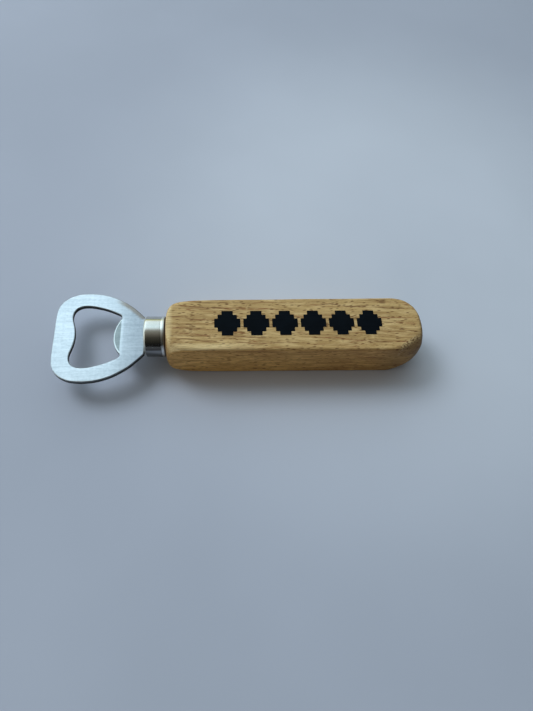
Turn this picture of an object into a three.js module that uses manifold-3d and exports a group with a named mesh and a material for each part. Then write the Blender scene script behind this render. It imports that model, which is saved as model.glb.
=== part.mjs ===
// Souvenir bottle opener: a stamped stainless head plate on a wooden slab handle.
//
// Units are millimetres. +Z is up. The opener lies flat, as it does on a table:
// the origin is the middle of its footprint, at table height. The head points
// to -X and the butt of the handle to +X. Everything but the butt is symmetric about Y = 0.
//
// How it comes apart: the plate's tang goes through a slot in the front of a
// drawn metal ferrule and down a blind mortise in the handle, where it is
// bonded. The ferrule sleeves a turned tenon on the handle and is bonded to it.
// Six cut marks of black film are applied on the upper face of the handle.

import * as THREE from 'three';
import { mergeVertices } from 'three/addons/utils/BufferGeometryUtils.js';
import Module from 'manifold-3d';

// ---------------------------------------------------------------- dimensions

const LENGTH = 150;                 // far edge of the head to the butt
const X_FAR = -LENGTH / 2;          // far edge of the head plate
const X_BUTT = LENGTH / 2;          // tip of the handle butt
const X_NECK = -39.6;               // front face of the ferrule
const X_WOOD = -31;                 // shoulder of the wooden handle

// handle: a slab with parallel faces and a slight taper, whose two ends are turned
const HANDLE_T = 20;                // thickness, top face to underside
const HANDLE_W0 = 22.4;             // width at the ferrule end
const HANDLE_W1 = 24.2;             // width at the butt end, before the rounding
const HANDLE_EASE = 0.8;            // eased long edges
const Z_AXIS = HANDLE_T / 2;        // axis of the ferrule, the tenon and the plate

const TENON_R = 7.0;                // turned tenon inside the ferrule
const TENON_X = -38.4;              // front end of the tenon
const MORTISE_W = 12.4;             // blind mortise for the tang
const MORTISE_H = 4.2;
const MORTISE_X = -6.5;             // closed end of the mortise

// head plate
const PLATE_T = 2.0;                // sheet thickness
const NECK_HALF = 8.15;             // half width where the plate meets the ferrule
const TONGUE_X = -49.15;            // fold line of the lifting tongue
const TONGUE_HALF = 8.0;            // half length of the fold line
const TONGUE_REACH = 3.0;          // how far the tongue stands into the opening
const TONGUE_DROP = 0.9;            // how far its edge is pressed down
const TANG_HALF = 5.0;              // half width of the tang
const TANG_X = -9;                  // end of the tang
const SHOULDER_GAP = 0.05;          // plate shoulder to ferrule face

// ferrule: a drawn cup with a slotted front
const FERRULE_R = 8.2;              // outside radius
const FERRULE_WALL = 0.8;
const FERRULE_END = -31.5;          // open rim, next to the wood
const FERRULE_LIP = 0.9;            // radius of its rounded front edge
const SLOT_HALF_W = 5.3;
const SLOT_HALF_H = 1.3;

// adhesive
const BOND_GAP = 0.06;              // drawn between an adhesive solid and its neighbours

// cut marks on the top face
const MARK_N = 6;
const MARK_X0 = -12.0;              // left end of the row
const MARK_X1 = 55.0;               // right end of the row
const MARK_SPACE = 1.2;             // clear wood between two marks
const MARK_H = 11.0;                // height across the handle
const MARK_Y = 0.3;                 // centre line of the row
const MARK_T = 0.08;                // film thickness
const MARK_LIFT = 0.02;             // drawn between the film and the wood

const SEG = 64;                     // sides of every round piece

// ------------------------------------------------------------------- helpers

const wasm = await Module();
wasm.setup();

// closed three.js geometry -> solid
function solid(geometry) {
  let g = geometry.index ? geometry.toNonIndexed() : geometry.clone();
  g.deleteAttribute('normal');
  g.deleteAttribute('uv');
  g = mergeVertices(g, 1e-4);
  const keep = [];
  const idx = g.index.array;
  for (let i = 0; i < idx.length; i += 3) {
    if (idx[i] !== idx[i + 1] && idx[i + 1] !== idx[i + 2] && idx[i] !== idx[i + 2]) {
      keep.push(idx[i], idx[i + 1], idx[i + 2]);
    }
  }
  return new wasm.Manifold(new wasm.Mesh({
    numProp: 3,
    vertProperties: new Float32Array(g.attributes.position.array),
    triVerts: new Uint32Array(keep),
  }));
}

// solid -> three.js geometry
function geometryOf(manifold) {
  const m = manifold.getMesh();
  const g = new THREE.BufferGeometry();
  const pos = new Float32Array(m.numVert * 3);
  for (let i = 0; i < m.numVert; i++) {
    for (let k = 0; k < 3; k++) pos[3 * i + k] = m.vertProperties[m.numProp * i + k];
  }
  g.setAttribute('position', new THREE.BufferAttribute(pos, 3));
  g.setIndex(new THREE.BufferAttribute(new Uint32Array(m.triVerts), 1));
  g.computeVertexNormals();
  return g;
}

// profile of [x, r] pairs, turned about the handle's axis; it starts and ends on the axis
// or comes back to its first point. radiusAt(x, cos, sin) can give another radius for a
// direction round the axis, with cos towards +Y and sin towards +Z, or null to leave it
function turned(profile, radiusAt = null) {
  const pts = profile.map(([x, r]) => new THREE.Vector2(r, x));
  const g = new THREE.LatheGeometry(pts, SEG);
  g.rotateZ(-Math.PI / 2);          // the axis of revolution becomes X
  if (radiusAt) {
    const p = g.attributes.position;
    for (let i = 0; i < p.count; i++) {
      const r = Math.hypot(p.getY(i), p.getZ(i));
      if (r < 1e-6) continue;
      const want = radiusAt(p.getX(i), p.getY(i) / r, p.getZ(i) / r);
      if (want === null) continue;
      p.setY(i, (p.getY(i) / r) * want);
      p.setZ(i, (p.getZ(i) / r) * want);
    }
  }
  g.translate(0, 0, Z_AXIS);
  return outward(g);
}

// flips a closed geometry whose faces point inwards
function outward(g) {
  const p = g.attributes.position;
  const idx = g.index.array;
  let v = 0;
  const a = new THREE.Vector3(), b = new THREE.Vector3(), c = new THREE.Vector3();
  for (let i = 0; i < idx.length; i += 3) {
    a.fromBufferAttribute(p, idx[i]);
    b.fromBufferAttribute(p, idx[i + 1]);
    c.fromBufferAttribute(p, idx[i + 2]);
    v += a.dot(b.cross(c));
  }
  if (v < 0) {
    for (let i = 0; i < idx.length; i += 3) {
      const t = idx[i + 1];
      idx[i + 1] = idx[i + 2];
      idx[i + 2] = t;
    }
  }
  return g;
}

// outline of [x, y] pairs extruded from z0 up by t
function extruded(outline, z0, t, bevel = 0) {
  const shape = new THREE.Shape(outline.map(([x, y]) => new THREE.Vector2(x, y)));
  const g = new THREE.ExtrudeGeometry(shape, bevel > 0
    ? { depth: t - 2 * bevel, bevelEnabled: true, bevelThickness: bevel, bevelSize: bevel,
        bevelOffset: -bevel, bevelSegments: 3, steps: 1 }
    : { depth: t, bevelEnabled: false, steps: 1 });
  g.translate(0, 0, z0 + (bevel > 0 ? bevel : 0));
  return g;
}

function box(x0, x1, y0, y1, z0, z1) {
  const g = new THREE.BoxGeometry(x1 - x0, y1 - y0, z1 - z0);
  g.translate((x0 + x1) / 2, (y0 + y1) / 2, (z0 + z1) / 2);
  return g;
}

// smooth curve through points, as n + 1 samples
function smooth(points, n) {
  const c = new THREE.CatmullRomCurve3(points.map(([x, y]) => new THREE.Vector3(x, y, 0)), false, 'centripetal');
  return c.getSpacedPoints(n).map((p) => [p.x, p.y]);
}

const mirrored = (pts) => pts.map(([x, y]) => [x, -y]).reverse();

// -------------------------------------------------------------- head plate

// half of the outside, from the neck round to the middle of the far edge
const OUTER_HALF = [
  [X_NECK - SHOULDER_GAP, NECK_HALF], [-41.0, 9.6], [-42.8, 11.4], [-44.5, 13.0], [-46.4, 14.5],
  [-48.4, 15.8], [-50.5, 17.0], [-52.7, 18.0], [-55.0, 18.8], [-57.5, 19.4], [-60.1, 19.75],
  [-62.8, 19.85], [-65.6, 19.65], [-68.4, 18.95], [-71.0, 17.6], [-73.15, 15.5], [-74.45, 12.9],
  [-74.9, 9.9], [X_FAR, 7.1], [X_FAR, 4.6], [X_FAR, 2.3],
];

// half of the opening, from the corner beside the tongue round to the middle of the far bar,
// whose edge bulges towards the handle: it is the fulcrum that sits on the cap
const INNER_HALF = [
  [TONGUE_X, 8.55], [-49.28, 9.15], [-49.85, 9.72], [-51.3, 10.5], [-52.85, 11.22], [-54.3, 11.85],
  [-55.9, 12.4], [-57.5, 12.88], [-59.25, 13.32], [-61.2, 13.68], [-63.2, 13.8], [-65.3, 13.5],
  [-67.06, 12.5], [-68.15, 10.7], [-68.35, 8.3], [-67.75, 5.9], [-67.25, 4.0], [-67.0, 2.5],
  [-66.85, 1.2],
];

// the tang, with two keying notches on each side and a blunt taper at its end
function tangOutline(clear, xFront) {
  const w = TANG_HALF + clear;
  const n = w - 1.2;
  const upper = [
    [xFront, w], [-29 + clear, w], [-28.2 + clear, n], [-25.8 - clear, n], [-25 - clear, w],
    [-19 + clear, w], [-18.2 + clear, n], [-15.8 - clear, n], [-15 - clear, w],
    [TANG_X - 2.5 + clear, w], [TANG_X + clear, w - 1.6],
  ];
  return [...upper, ...mirrored(upper)].reverse();
}

function headPlate() {
  const z0 = Z_AXIS - PLATE_T / 2;
  const upper = smooth([...OUTER_HALF, [X_FAR, 0], [X_FAR, -2.3]], 78)
    .filter(([, y]) => y > 0.4);
  const ring = [...upper, [X_FAR, 0], ...mirrored(upper)];
  const body = solid(extruded(ring, z0, PLATE_T));

  const innerUpper = smooth([...INNER_HALF, [-66.8, 0], [-66.85, -1.2]], 66)
    .filter(([, y]) => y > 0.3);
  const hole = [...innerUpper, [-66.8, 0], ...mirrored(innerUpper)];
  const opening = solid(extruded(hole, z0 - 1, PLATE_T + 2));

  const tang = solid(extruded(tangOutline(0, X_NECK - 0.8), z0, PLATE_T));

  // tongue: a crescent cut with the opening, then pressed down along the fold line
  const R = (TONGUE_HALF ** 2 + TONGUE_REACH ** 2) / (2 * TONGUE_REACH);
  const half = Math.asin(TONGUE_HALF / R);
  const crescent = [[TONGUE_X + 0.4, TONGUE_HALF]];
  for (let i = 0; i <= 24; i++) {
    const a = half - (2 * half * i) / 24;
    crescent.push([TONGUE_X - TONGUE_REACH + R - R * Math.cos(a), R * Math.sin(a)]);
  }
  crescent.push([TONGUE_X + 0.4, -TONGUE_HALF]);
  const g = extruded(crescent, z0, PLATE_T);
  const p = g.attributes.position;
  for (let i = 0; i < p.count; i++) {
    const d = Math.max(0, TONGUE_X - p.getX(i));
    p.setZ(i, p.getZ(i) - (TONGUE_DROP * d) / TONGUE_REACH);
  }
  return geometryOf(body.subtract(opening).add(tang).add(solid(g)));
}

// ---------------------------------------------------------- wooden handle

// turned outline at the two ends, as [x, radius]; between them it runs outside the slab
const TURNED_FRONT = [
  [X_WOOD, 8.7], [-30.85, 9.4], [-30.6, 10.3], [-30.15, 11.25], [-29.5, 12.1], [-28.55, 12.85],
  [-27.2, 13.45], [-25.4, 13.95], [-23.0, 14.35], [-20.0, 14.7], [-16.0, 15.05], [-11.0, 15.5],
  [-5.0, 16.2],
];
// the butt is finished by hand: its corners at +Y are fuller than those at -Y, and half way up
// its side it is rounder than at either face
const BUTT_TIP = [
  [71.65, 9.2], [72.1, 7.9], [72.7, 6.3], [73.3, 4.8], [73.9, 3.2], [74.5, 1.6], [X_BUTT, 0],
];
const BUTT_FULL = [
  [54.0, 17.2], [58.0, 16.4], [61.0, 15.7], [63.2, 15.1], [64.9, 14.67], [66.4, 14.14], [67.7, 13.5],
  [68.9, 12.7], [69.9, 11.85], [70.6, 11.03], [71.0, 10.45], [71.3, 10.0], ...BUTT_TIP,
];
const BUTT_WORN = [
  [54.0, 17.2], [58.0, 16.3], [60.8, 15.45], [63.0, 14.5], [65.0, 13.5], [66.6, 12.75], [68.1, 12.0],
  [69.5, 11.3], [70.5, 10.65], [71.1, 10.05], ...BUTT_TIP,
];
const BUTT_SIDE = [
  [54.0, 17.2], [58.0, 16.3], [61.0, 15.2], [64.0, 13.6], [66.0, 12.65], [67.5, 11.85], [69.2, 10.75],
  [70.8, 9.4], [72.0, 7.8], [72.75, 6.2], [73.45, 4.6], [74.1, 3.0], [74.6, 1.6], [X_BUTT, 0],
];

const ease = (a, b, x) => {
  const t = Math.min(Math.max((x - a) / (b - a), 0), 1);
  return t * t * (3 - 2 * t);
};

// radius of an outline at x, from its samples
function lookup(samples, x) {
  for (let i = 1; i < samples.length; i++) {
    const [x0, r0] = samples[i - 1];
    const [x1, r1] = samples[i];
    if (x <= x1) return r0 + ((r1 - r0) * (x - x0)) / (x1 - x0);
  }
  return samples[samples.length - 1][1];
}

function woodenHandle() {
  const x0 = TENON_X - 2;
  const x1 = X_BUTT + 2;
  const halfAt = (x) => (HANDLE_W0 + ((HANDLE_W1 - HANDLE_W0) * (x - X_WOOD)) / 100) / 2;
  const slab = solid(extruded(
    [[x0, -halfAt(x0)], [x1, -halfAt(x1)], [x1, halfAt(x1)], [x0, halfAt(x0)]],
    0, HANDLE_T, HANDLE_EASE));
  const front = smooth(TURNED_FRONT, 22);
  const butt = smooth(BUTT_FULL, 28);
  const full = smooth(BUTT_FULL, 160);
  const worn = smooth(BUTT_WORN, 160);
  const side = smooth(BUTT_SIDE, 160);
  const blank = solid(turned([
    [TENON_X, 0], [TENON_X, TENON_R - 0.5], [TENON_X + 0.5, TENON_R], [X_WOOD, TENON_R],
    ...front, ...butt.slice(0, -1), [X_BUTT, 0],
  ], (x, cos, sin) => {
    if (x < BUTT_FULL[0][0]) return null;
    const corner = ease(-0.35, 0.35, cos);
    const flank = ease(0.62, 0.15, Math.abs(sin));
    const r = lookup(worn, x) * (1 - corner) + lookup(full, x) * corner;
    return r * (1 - flank) + lookup(side, x) * flank;
  }));
  const mortise = solid(box(TENON_X - 1, MORTISE_X, -MORTISE_W / 2, MORTISE_W / 2,
    Z_AXIS - MORTISE_H / 2, Z_AXIS + MORTISE_H / 2));
  return geometryOf(slab.intersect(blank).subtract(mortise));
}

// ---------------------------------------------------------------- ferrule

function ferrule() {
  const arc = [];
  for (let i = 0; i <= 6; i++) {
    const a = (Math.PI / 2) * (i / 6);
    arc.push([X_NECK + FERRULE_LIP * (1 - Math.sin(a)), FERRULE_R - FERRULE_LIP * (1 - Math.cos(a))]);
  }
  const inside = FERRULE_R - FERRULE_WALL;
  const cup = solid(turned([
    [X_NECK, 0],
    ...arc.reverse(),
    [FERRULE_END - 0.25, FERRULE_R], [FERRULE_END, FERRULE_R - 0.25],
    [FERRULE_END, inside], [X_NECK + FERRULE_WALL, inside], [X_NECK + FERRULE_WALL, 0],
  ]));
  const slot = solid(box(X_NECK - 1, X_NECK + 1.5, -SLOT_HALF_W, SLOT_HALF_W,
    Z_AXIS - SLOT_HALF_H, Z_AXIS + SLOT_HALF_H));
  return geometryOf(cup.subtract(slot));
}

// --------------------------------------------------------------- adhesive

// sleeve between the tenon and the ferrule, with the bead that fills the joint at the wood
function ferruleAdhesive() {
  const r0 = TENON_R + BOND_GAP;
  const r1 = FERRULE_R - FERRULE_WALL - BOND_GAP;
  return turned([
    [TENON_X + 0.6, r0], [TENON_X + 0.6, r1], [FERRULE_END + BOND_GAP, r1],
    [FERRULE_END + BOND_GAP, FERRULE_R - 0.35], [X_WOOD - BOND_GAP, FERRULE_R - 0.35],
    [X_WOOD - BOND_GAP, r0], [TENON_X + 0.6, r0],
  ]);
}

// fill round the tang in the mortise
function tangAdhesive() {
  const block = solid(box(TENON_X + BOND_GAP, MORTISE_X - BOND_GAP,
    -MORTISE_W / 2 + BOND_GAP, MORTISE_W / 2 - BOND_GAP,
    Z_AXIS - MORTISE_H / 2 + BOND_GAP, Z_AXIS + MORTISE_H / 2 - BOND_GAP));
  const pocket = solid(extruded(tangOutline(BOND_GAP, X_NECK - 1),
    Z_AXIS - PLATE_T / 2 - BOND_GAP, PLATE_T + 2 * BOND_GAP));
  return geometryOf(block.subtract(pocket));
}

// ------------------------------------------------------------------ marks

// one stepped lozenge, w wide along the handle and MARK_H high across it
function stepped(w) {
  const a = w / 2;
  const b = MARK_H / 2;
  const q = [[a, 0.36 * b], [0.74 * a, 0.36 * b], [0.74 * a, 0.68 * b], [0.44 * a, 0.68 * b], [0.44 * a, b]];
  const left = q.map(([x, y]) => [-x, y]).reverse();
  const top = [...q, ...left];
  return [...top, ...top.map(([x, y]) => [-x, -y])];
}

// --------------------------------------------------------------- assembly

const steel = new THREE.MeshStandardMaterial({ color: 0xc9d2d8, metalness: 1, roughness: 0.38 });
const nickel = new THREE.MeshStandardMaterial({ color: 0xc6c2b8, metalness: 1, roughness: 0.14 });
const wood = new THREE.MeshStandardMaterial({ color: 0xb39366, metalness: 0, roughness: 0.62 });
const epoxy = new THREE.MeshStandardMaterial({ color: 0x7a4a18, metalness: 0, roughness: 0.35 });
const film = new THREE.MeshStandardMaterial({ color: 0x0a0f16, metalness: 0, roughness: 0.55 });

function mesh(name, geometry, material) {
  const m = new THREE.Mesh(geometry, material.clone());
  m.name = name;
  return m;
}

const opener = new THREE.Group();

const head = new THREE.Group();
head.add(mesh('head_plate', headPlate(), steel));
head.add(mesh('ferrule', ferrule(), nickel));
opener.add(head);

const grip = new THREE.Group();
grip.add(mesh('wooden_handle', woodenHandle(), wood));
grip.add(mesh('tang_adhesive', tangAdhesive(), epoxy));
grip.add(mesh('ferrule_adhesive', ferruleAdhesive(), epoxy));

const pitch = (MARK_X1 - MARK_X0 + MARK_SPACE) / MARK_N;
for (let i = 0; i < MARK_N; i++) {
  const m = mesh(`film_mark_${i + 1}`, extruded(stepped(pitch - MARK_SPACE), 0, MARK_T), film);
  m.position.set(MARK_X0 + pitch * (i + 0.5) - MARK_SPACE / 2, MARK_Y, HANDLE_T + MARK_LIFT);
  grip.add(m);
}
opener.add(grip);

export default opener;
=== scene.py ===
import math

import bmesh
import bpy
from mathutils import Matrix, Vector, geometry, noise


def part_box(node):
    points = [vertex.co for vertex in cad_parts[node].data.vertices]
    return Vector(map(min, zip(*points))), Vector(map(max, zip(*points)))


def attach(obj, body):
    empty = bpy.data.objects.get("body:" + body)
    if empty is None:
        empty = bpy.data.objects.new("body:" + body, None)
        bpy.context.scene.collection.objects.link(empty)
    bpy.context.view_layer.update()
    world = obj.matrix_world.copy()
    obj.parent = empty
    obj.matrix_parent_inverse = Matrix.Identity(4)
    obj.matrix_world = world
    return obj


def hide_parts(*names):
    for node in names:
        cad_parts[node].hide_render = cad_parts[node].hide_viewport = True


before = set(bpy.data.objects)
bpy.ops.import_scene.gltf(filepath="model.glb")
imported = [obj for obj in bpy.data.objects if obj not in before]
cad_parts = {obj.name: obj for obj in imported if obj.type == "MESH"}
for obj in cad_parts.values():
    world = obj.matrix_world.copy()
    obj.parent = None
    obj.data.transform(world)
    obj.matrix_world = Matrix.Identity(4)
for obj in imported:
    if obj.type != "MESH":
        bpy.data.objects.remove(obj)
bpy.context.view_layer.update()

MM = 0.001

# ------------------------------------------------------------------ camera
# Made first. The view is that of a hand-held camera above the near side.
CAM_AT = (-11.35 * MM, -101.44 * MM, 196.72 * MM)
CAM_TILT = math.radians(63.142)      # below the horizon
CAM_ROLL = math.radians(10.269)
CAM_TURN = math.radians(12.282)      # from +Y towards +X
CAM_LENS = 520.0 / 711.0 * 36.0

s, c = math.sin(CAM_TURN), math.cos(CAM_TURN)
ahead = Vector((s, c, 0.0))
side = Vector((c, -s, 0.0))
up = Vector((0.0, 0.0, 1.0))
fwd = ahead * math.cos(CAM_TILT) - up * math.sin(CAM_TILT)
top = ahead * math.sin(CAM_TILT) + up * math.cos(CAM_TILT)
cam_x = side * math.cos(CAM_ROLL) + top * math.sin(CAM_ROLL)
cam_y = -side * math.sin(CAM_ROLL) + top * math.cos(CAM_ROLL)
cam_z = -fwd
cam_data = bpy.data.cameras.new("camera")
cam_data.sensor_width = 36.0
cam_data.lens = CAM_LENS
cam_data.clip_start = 0.005
cam_data.clip_end = 20.0
camera = bpy.data.objects.new("camera", cam_data)
bpy.context.scene.collection.objects.link(camera)
m = Matrix((cam_x, cam_y, cam_z)).transposed().to_4x4()
m.translation = Vector(CAM_AT)
camera.matrix_world = m
bpy.context.scene.camera = camera

# ----------------------------------------------------------- mesh helpers


def link(obj):
    bpy.context.scene.collection.objects.link(obj)
    return obj


def mesh_object(name, verts, faces, material, body="root"):
    """Verts in millimetres, in the row frame."""
    me = bpy.data.meshes.new(name)
    me.from_pydata([(x * MM, y * MM, z * MM) for x, y, z in verts], [], faces)
    me.update()
    bm = bmesh.new()
    bm.from_mesh(me)
    bmesh.ops.remove_doubles(bm, verts=bm.verts, dist=1e-8)
    bmesh.ops.recalc_face_normals(bm, faces=bm.faces)
    bm.to_mesh(me)
    bm.free()
    me.polygons.foreach_set("use_smooth", [True] * len(me.polygons))
    me.materials.append(material)
    obj = link(bpy.data.objects.new(name, me))
    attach(obj, body)
    return obj


def weighted_normals(obj):
    mod = obj.modifiers.new("normals", "WEIGHTED_NORMAL")
    mod.mode = "FACE_AREA"
    mod.weight = 100
    mod.keep_sharp = True


def bridge(rings, closed_rings=True):
    """Faces between rings of vertex indices that have the same length."""
    faces = []
    for a, b in zip(rings[:-1], rings[1:]):
        n = len(a)
        for i in range(n if closed_rings else n - 1):
            j = (i + 1) % n
            faces.append((a[i], a[j], b[j], b[i]))
    return faces


def catmull(points, per_mm):
    """Points along a centripetal Catmull-Rom curve, about per_mm of them to each millimetre."""
    pts = [Vector(p) for p in points]
    pts = [pts[0] * 2 - pts[1]] + pts + [pts[-1] * 2 - pts[-2]]
    out = []
    for i in range(1, len(pts) - 2):
        p0, p1, p2, p3 = pts[i - 1 : i + 3]
        t0 = 0.0
        t1 = t0 + max((p1 - p0).length, 1e-9) ** 0.5
        t2 = t1 + max((p2 - p1).length, 1e-9) ** 0.5
        t3 = t2 + max((p3 - p2).length, 1e-9) ** 0.5
        n = max(2, int(round((p2 - p1).length * per_mm)))
        for k in range(n):
            t = t1 + (t2 - t1) * k / n
            a1 = p0 * ((t1 - t) / (t1 - t0)) + p1 * ((t - t0) / (t1 - t0))
            a2 = p1 * ((t2 - t) / (t2 - t1)) + p2 * ((t - t1) / (t2 - t1))
            a3 = p2 * ((t3 - t) / (t3 - t2)) + p3 * ((t - t2) / (t3 - t2))
            b1 = a1 * ((t2 - t) / (t2 - t0)) + a2 * ((t - t0) / (t2 - t0))
            b2 = a2 * ((t3 - t) / (t3 - t1)) + a3 * ((t - t1) / (t3 - t1))
            out.append(b1 * ((t2 - t) / (t2 - t1)) + b2 * ((t - t1) / (t2 - t1)))
    out.append(pts[-2].copy())
    return out


def smin(a, b, k):
    h = max(k - abs(a - b), 0.0) / k
    return min(a, b) - h * h * k * 0.25


def smoothstep(a, b, x):
    t = min(max((x - a) / (b - a), 0.0), 1.0)
    return t * t * (3.0 - 2.0 * t)


# -------------------------------------------------------- material helpers


class Graph:
    def __init__(self, name):
        self.mat = bpy.data.materials.new(name)
        self.mat.use_nodes = True
        self.t = self.mat.node_tree
        self.t.nodes.clear()
        self.out = self.t.nodes.new("ShaderNodeOutputMaterial")
        self.bsdf = self.t.nodes.new("ShaderNodeBsdfPrincipled")
        self.t.links.new(self.bsdf.outputs[0], self.out.inputs[0])

    def link(self, a, b):
        self.t.links.new(a, b)

    def node(self, kind, **props):
        n = self.t.nodes.new(kind)
        for k, v in props.items():
            setattr(n, k, v)
        return n

    def _in(self, socket, value):
        if isinstance(value, bpy.types.NodeSocket):
            self.link(value, socket)
        else:
            socket.default_value = value

    def math(self, op, a, b=0.0, c=0.0, clamp=False):
        n = self.node("ShaderNodeMath", operation=op, use_clamp=clamp)
        self._in(n.inputs[0], a)
        self._in(n.inputs[1], b)
        if len(n.inputs) > 2:
            self._in(n.inputs[2], c)
        return n.outputs[0]

    def vmath(self, op, a, b=(0, 0, 0)):
        n = self.node("ShaderNodeVectorMath", operation=op)
        self._in(n.inputs[0], a)
        self._in(n.inputs[1], b)
        return n.outputs["Value"] if op in ("LENGTH", "DOT_PRODUCT", "DISTANCE") else n.outputs[0]

    def mix(self, fac, a, b, blend="MIX"):
        n = self.node("ShaderNodeMix", data_type="RGBA", blend_type=blend)
        self._in(n.inputs[0], fac)
        self._in(n.inputs[6], a if isinstance(a, bpy.types.NodeSocket) else (*a, 1.0))
        self._in(n.inputs[7], b if isinstance(b, bpy.types.NodeSocket) else (*b, 1.0))
        return n.outputs[2]

    def fmix(self, fac, a, b):
        n = self.node("ShaderNodeMix", data_type="FLOAT")
        self._in(n.inputs[0], fac)
        self._in(n.inputs[2], a)
        self._in(n.inputs[3], b)
        return n.outputs[0]

    def ramp(self, fac, lo, hi, y0=0.0, y1=1.0, smooth=True):
        n = self.node("ShaderNodeMapRange", interpolation_type="SMOOTHSTEP" if smooth else "LINEAR")
        self._in(n.inputs[0], fac)
        n.inputs[1].default_value = lo
        n.inputs[2].default_value = hi
        n.inputs[3].default_value = y0
        n.inputs[4].default_value = y1
        return n.outputs[0]

    def coords(self, scale=(1000, 1000, 1000), offset=(0, 0, 0), source=None):
        if source is None:
            source = self.node("ShaderNodeTexCoord").outputs["Object"]
        n = self.node("ShaderNodeMapping")
        self.link(source, n.inputs[0])
        n.inputs[1].default_value = offset
        n.inputs[3].default_value = scale
        return n.outputs[0]

    def noise(self, vec, scale=1.0, detail=2.0, rough=0.5, distortion=0.0, lac=2.0):
        n = self.node("ShaderNodeTexNoise")
        self.link(vec, n.inputs["Vector"])
        n.inputs["Scale"].default_value = scale
        n.inputs["Detail"].default_value = detail
        n.inputs["Roughness"].default_value = rough
        n.inputs["Lacunarity"].default_value = lac
        n.inputs["Distortion"].default_value = distortion
        return n.outputs[0]

    def voronoi(self, vec, scale=1.0, feature="F1", randomness=1.0):
        n = self.node("ShaderNodeTexVoronoi", feature=feature)
        self.link(vec, n.inputs["Vector"])
        n.inputs["Scale"].default_value = scale
        n.inputs["Randomness"].default_value = randomness
        return n

    def bump(self, height, distance, strength=1.0, normal=None):
        n = self.node("ShaderNodeBump")
        n.inputs["Strength"].default_value = strength
        n.inputs["Distance"].default_value = distance
        self.link(height, n.inputs["Height"])
        if normal is not None:
            self.link(normal, n.inputs["Normal"])
        return n.outputs[0]

    def set(self, **values):
        for k, v in values.items():
            socket = self.bsdf.inputs[k.replace("_", " ")]
            if isinstance(v, bpy.types.NodeSocket):
                self.link(v, socket)
            elif hasattr(socket.default_value, "__len__") and len(v) == 3 and len(socket.default_value) == 4:
                socket.default_value = (*v, 1.0)
            else:
                socket.default_value = v
        return self.mat


# --------------------------------------------------------------- materials


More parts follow.
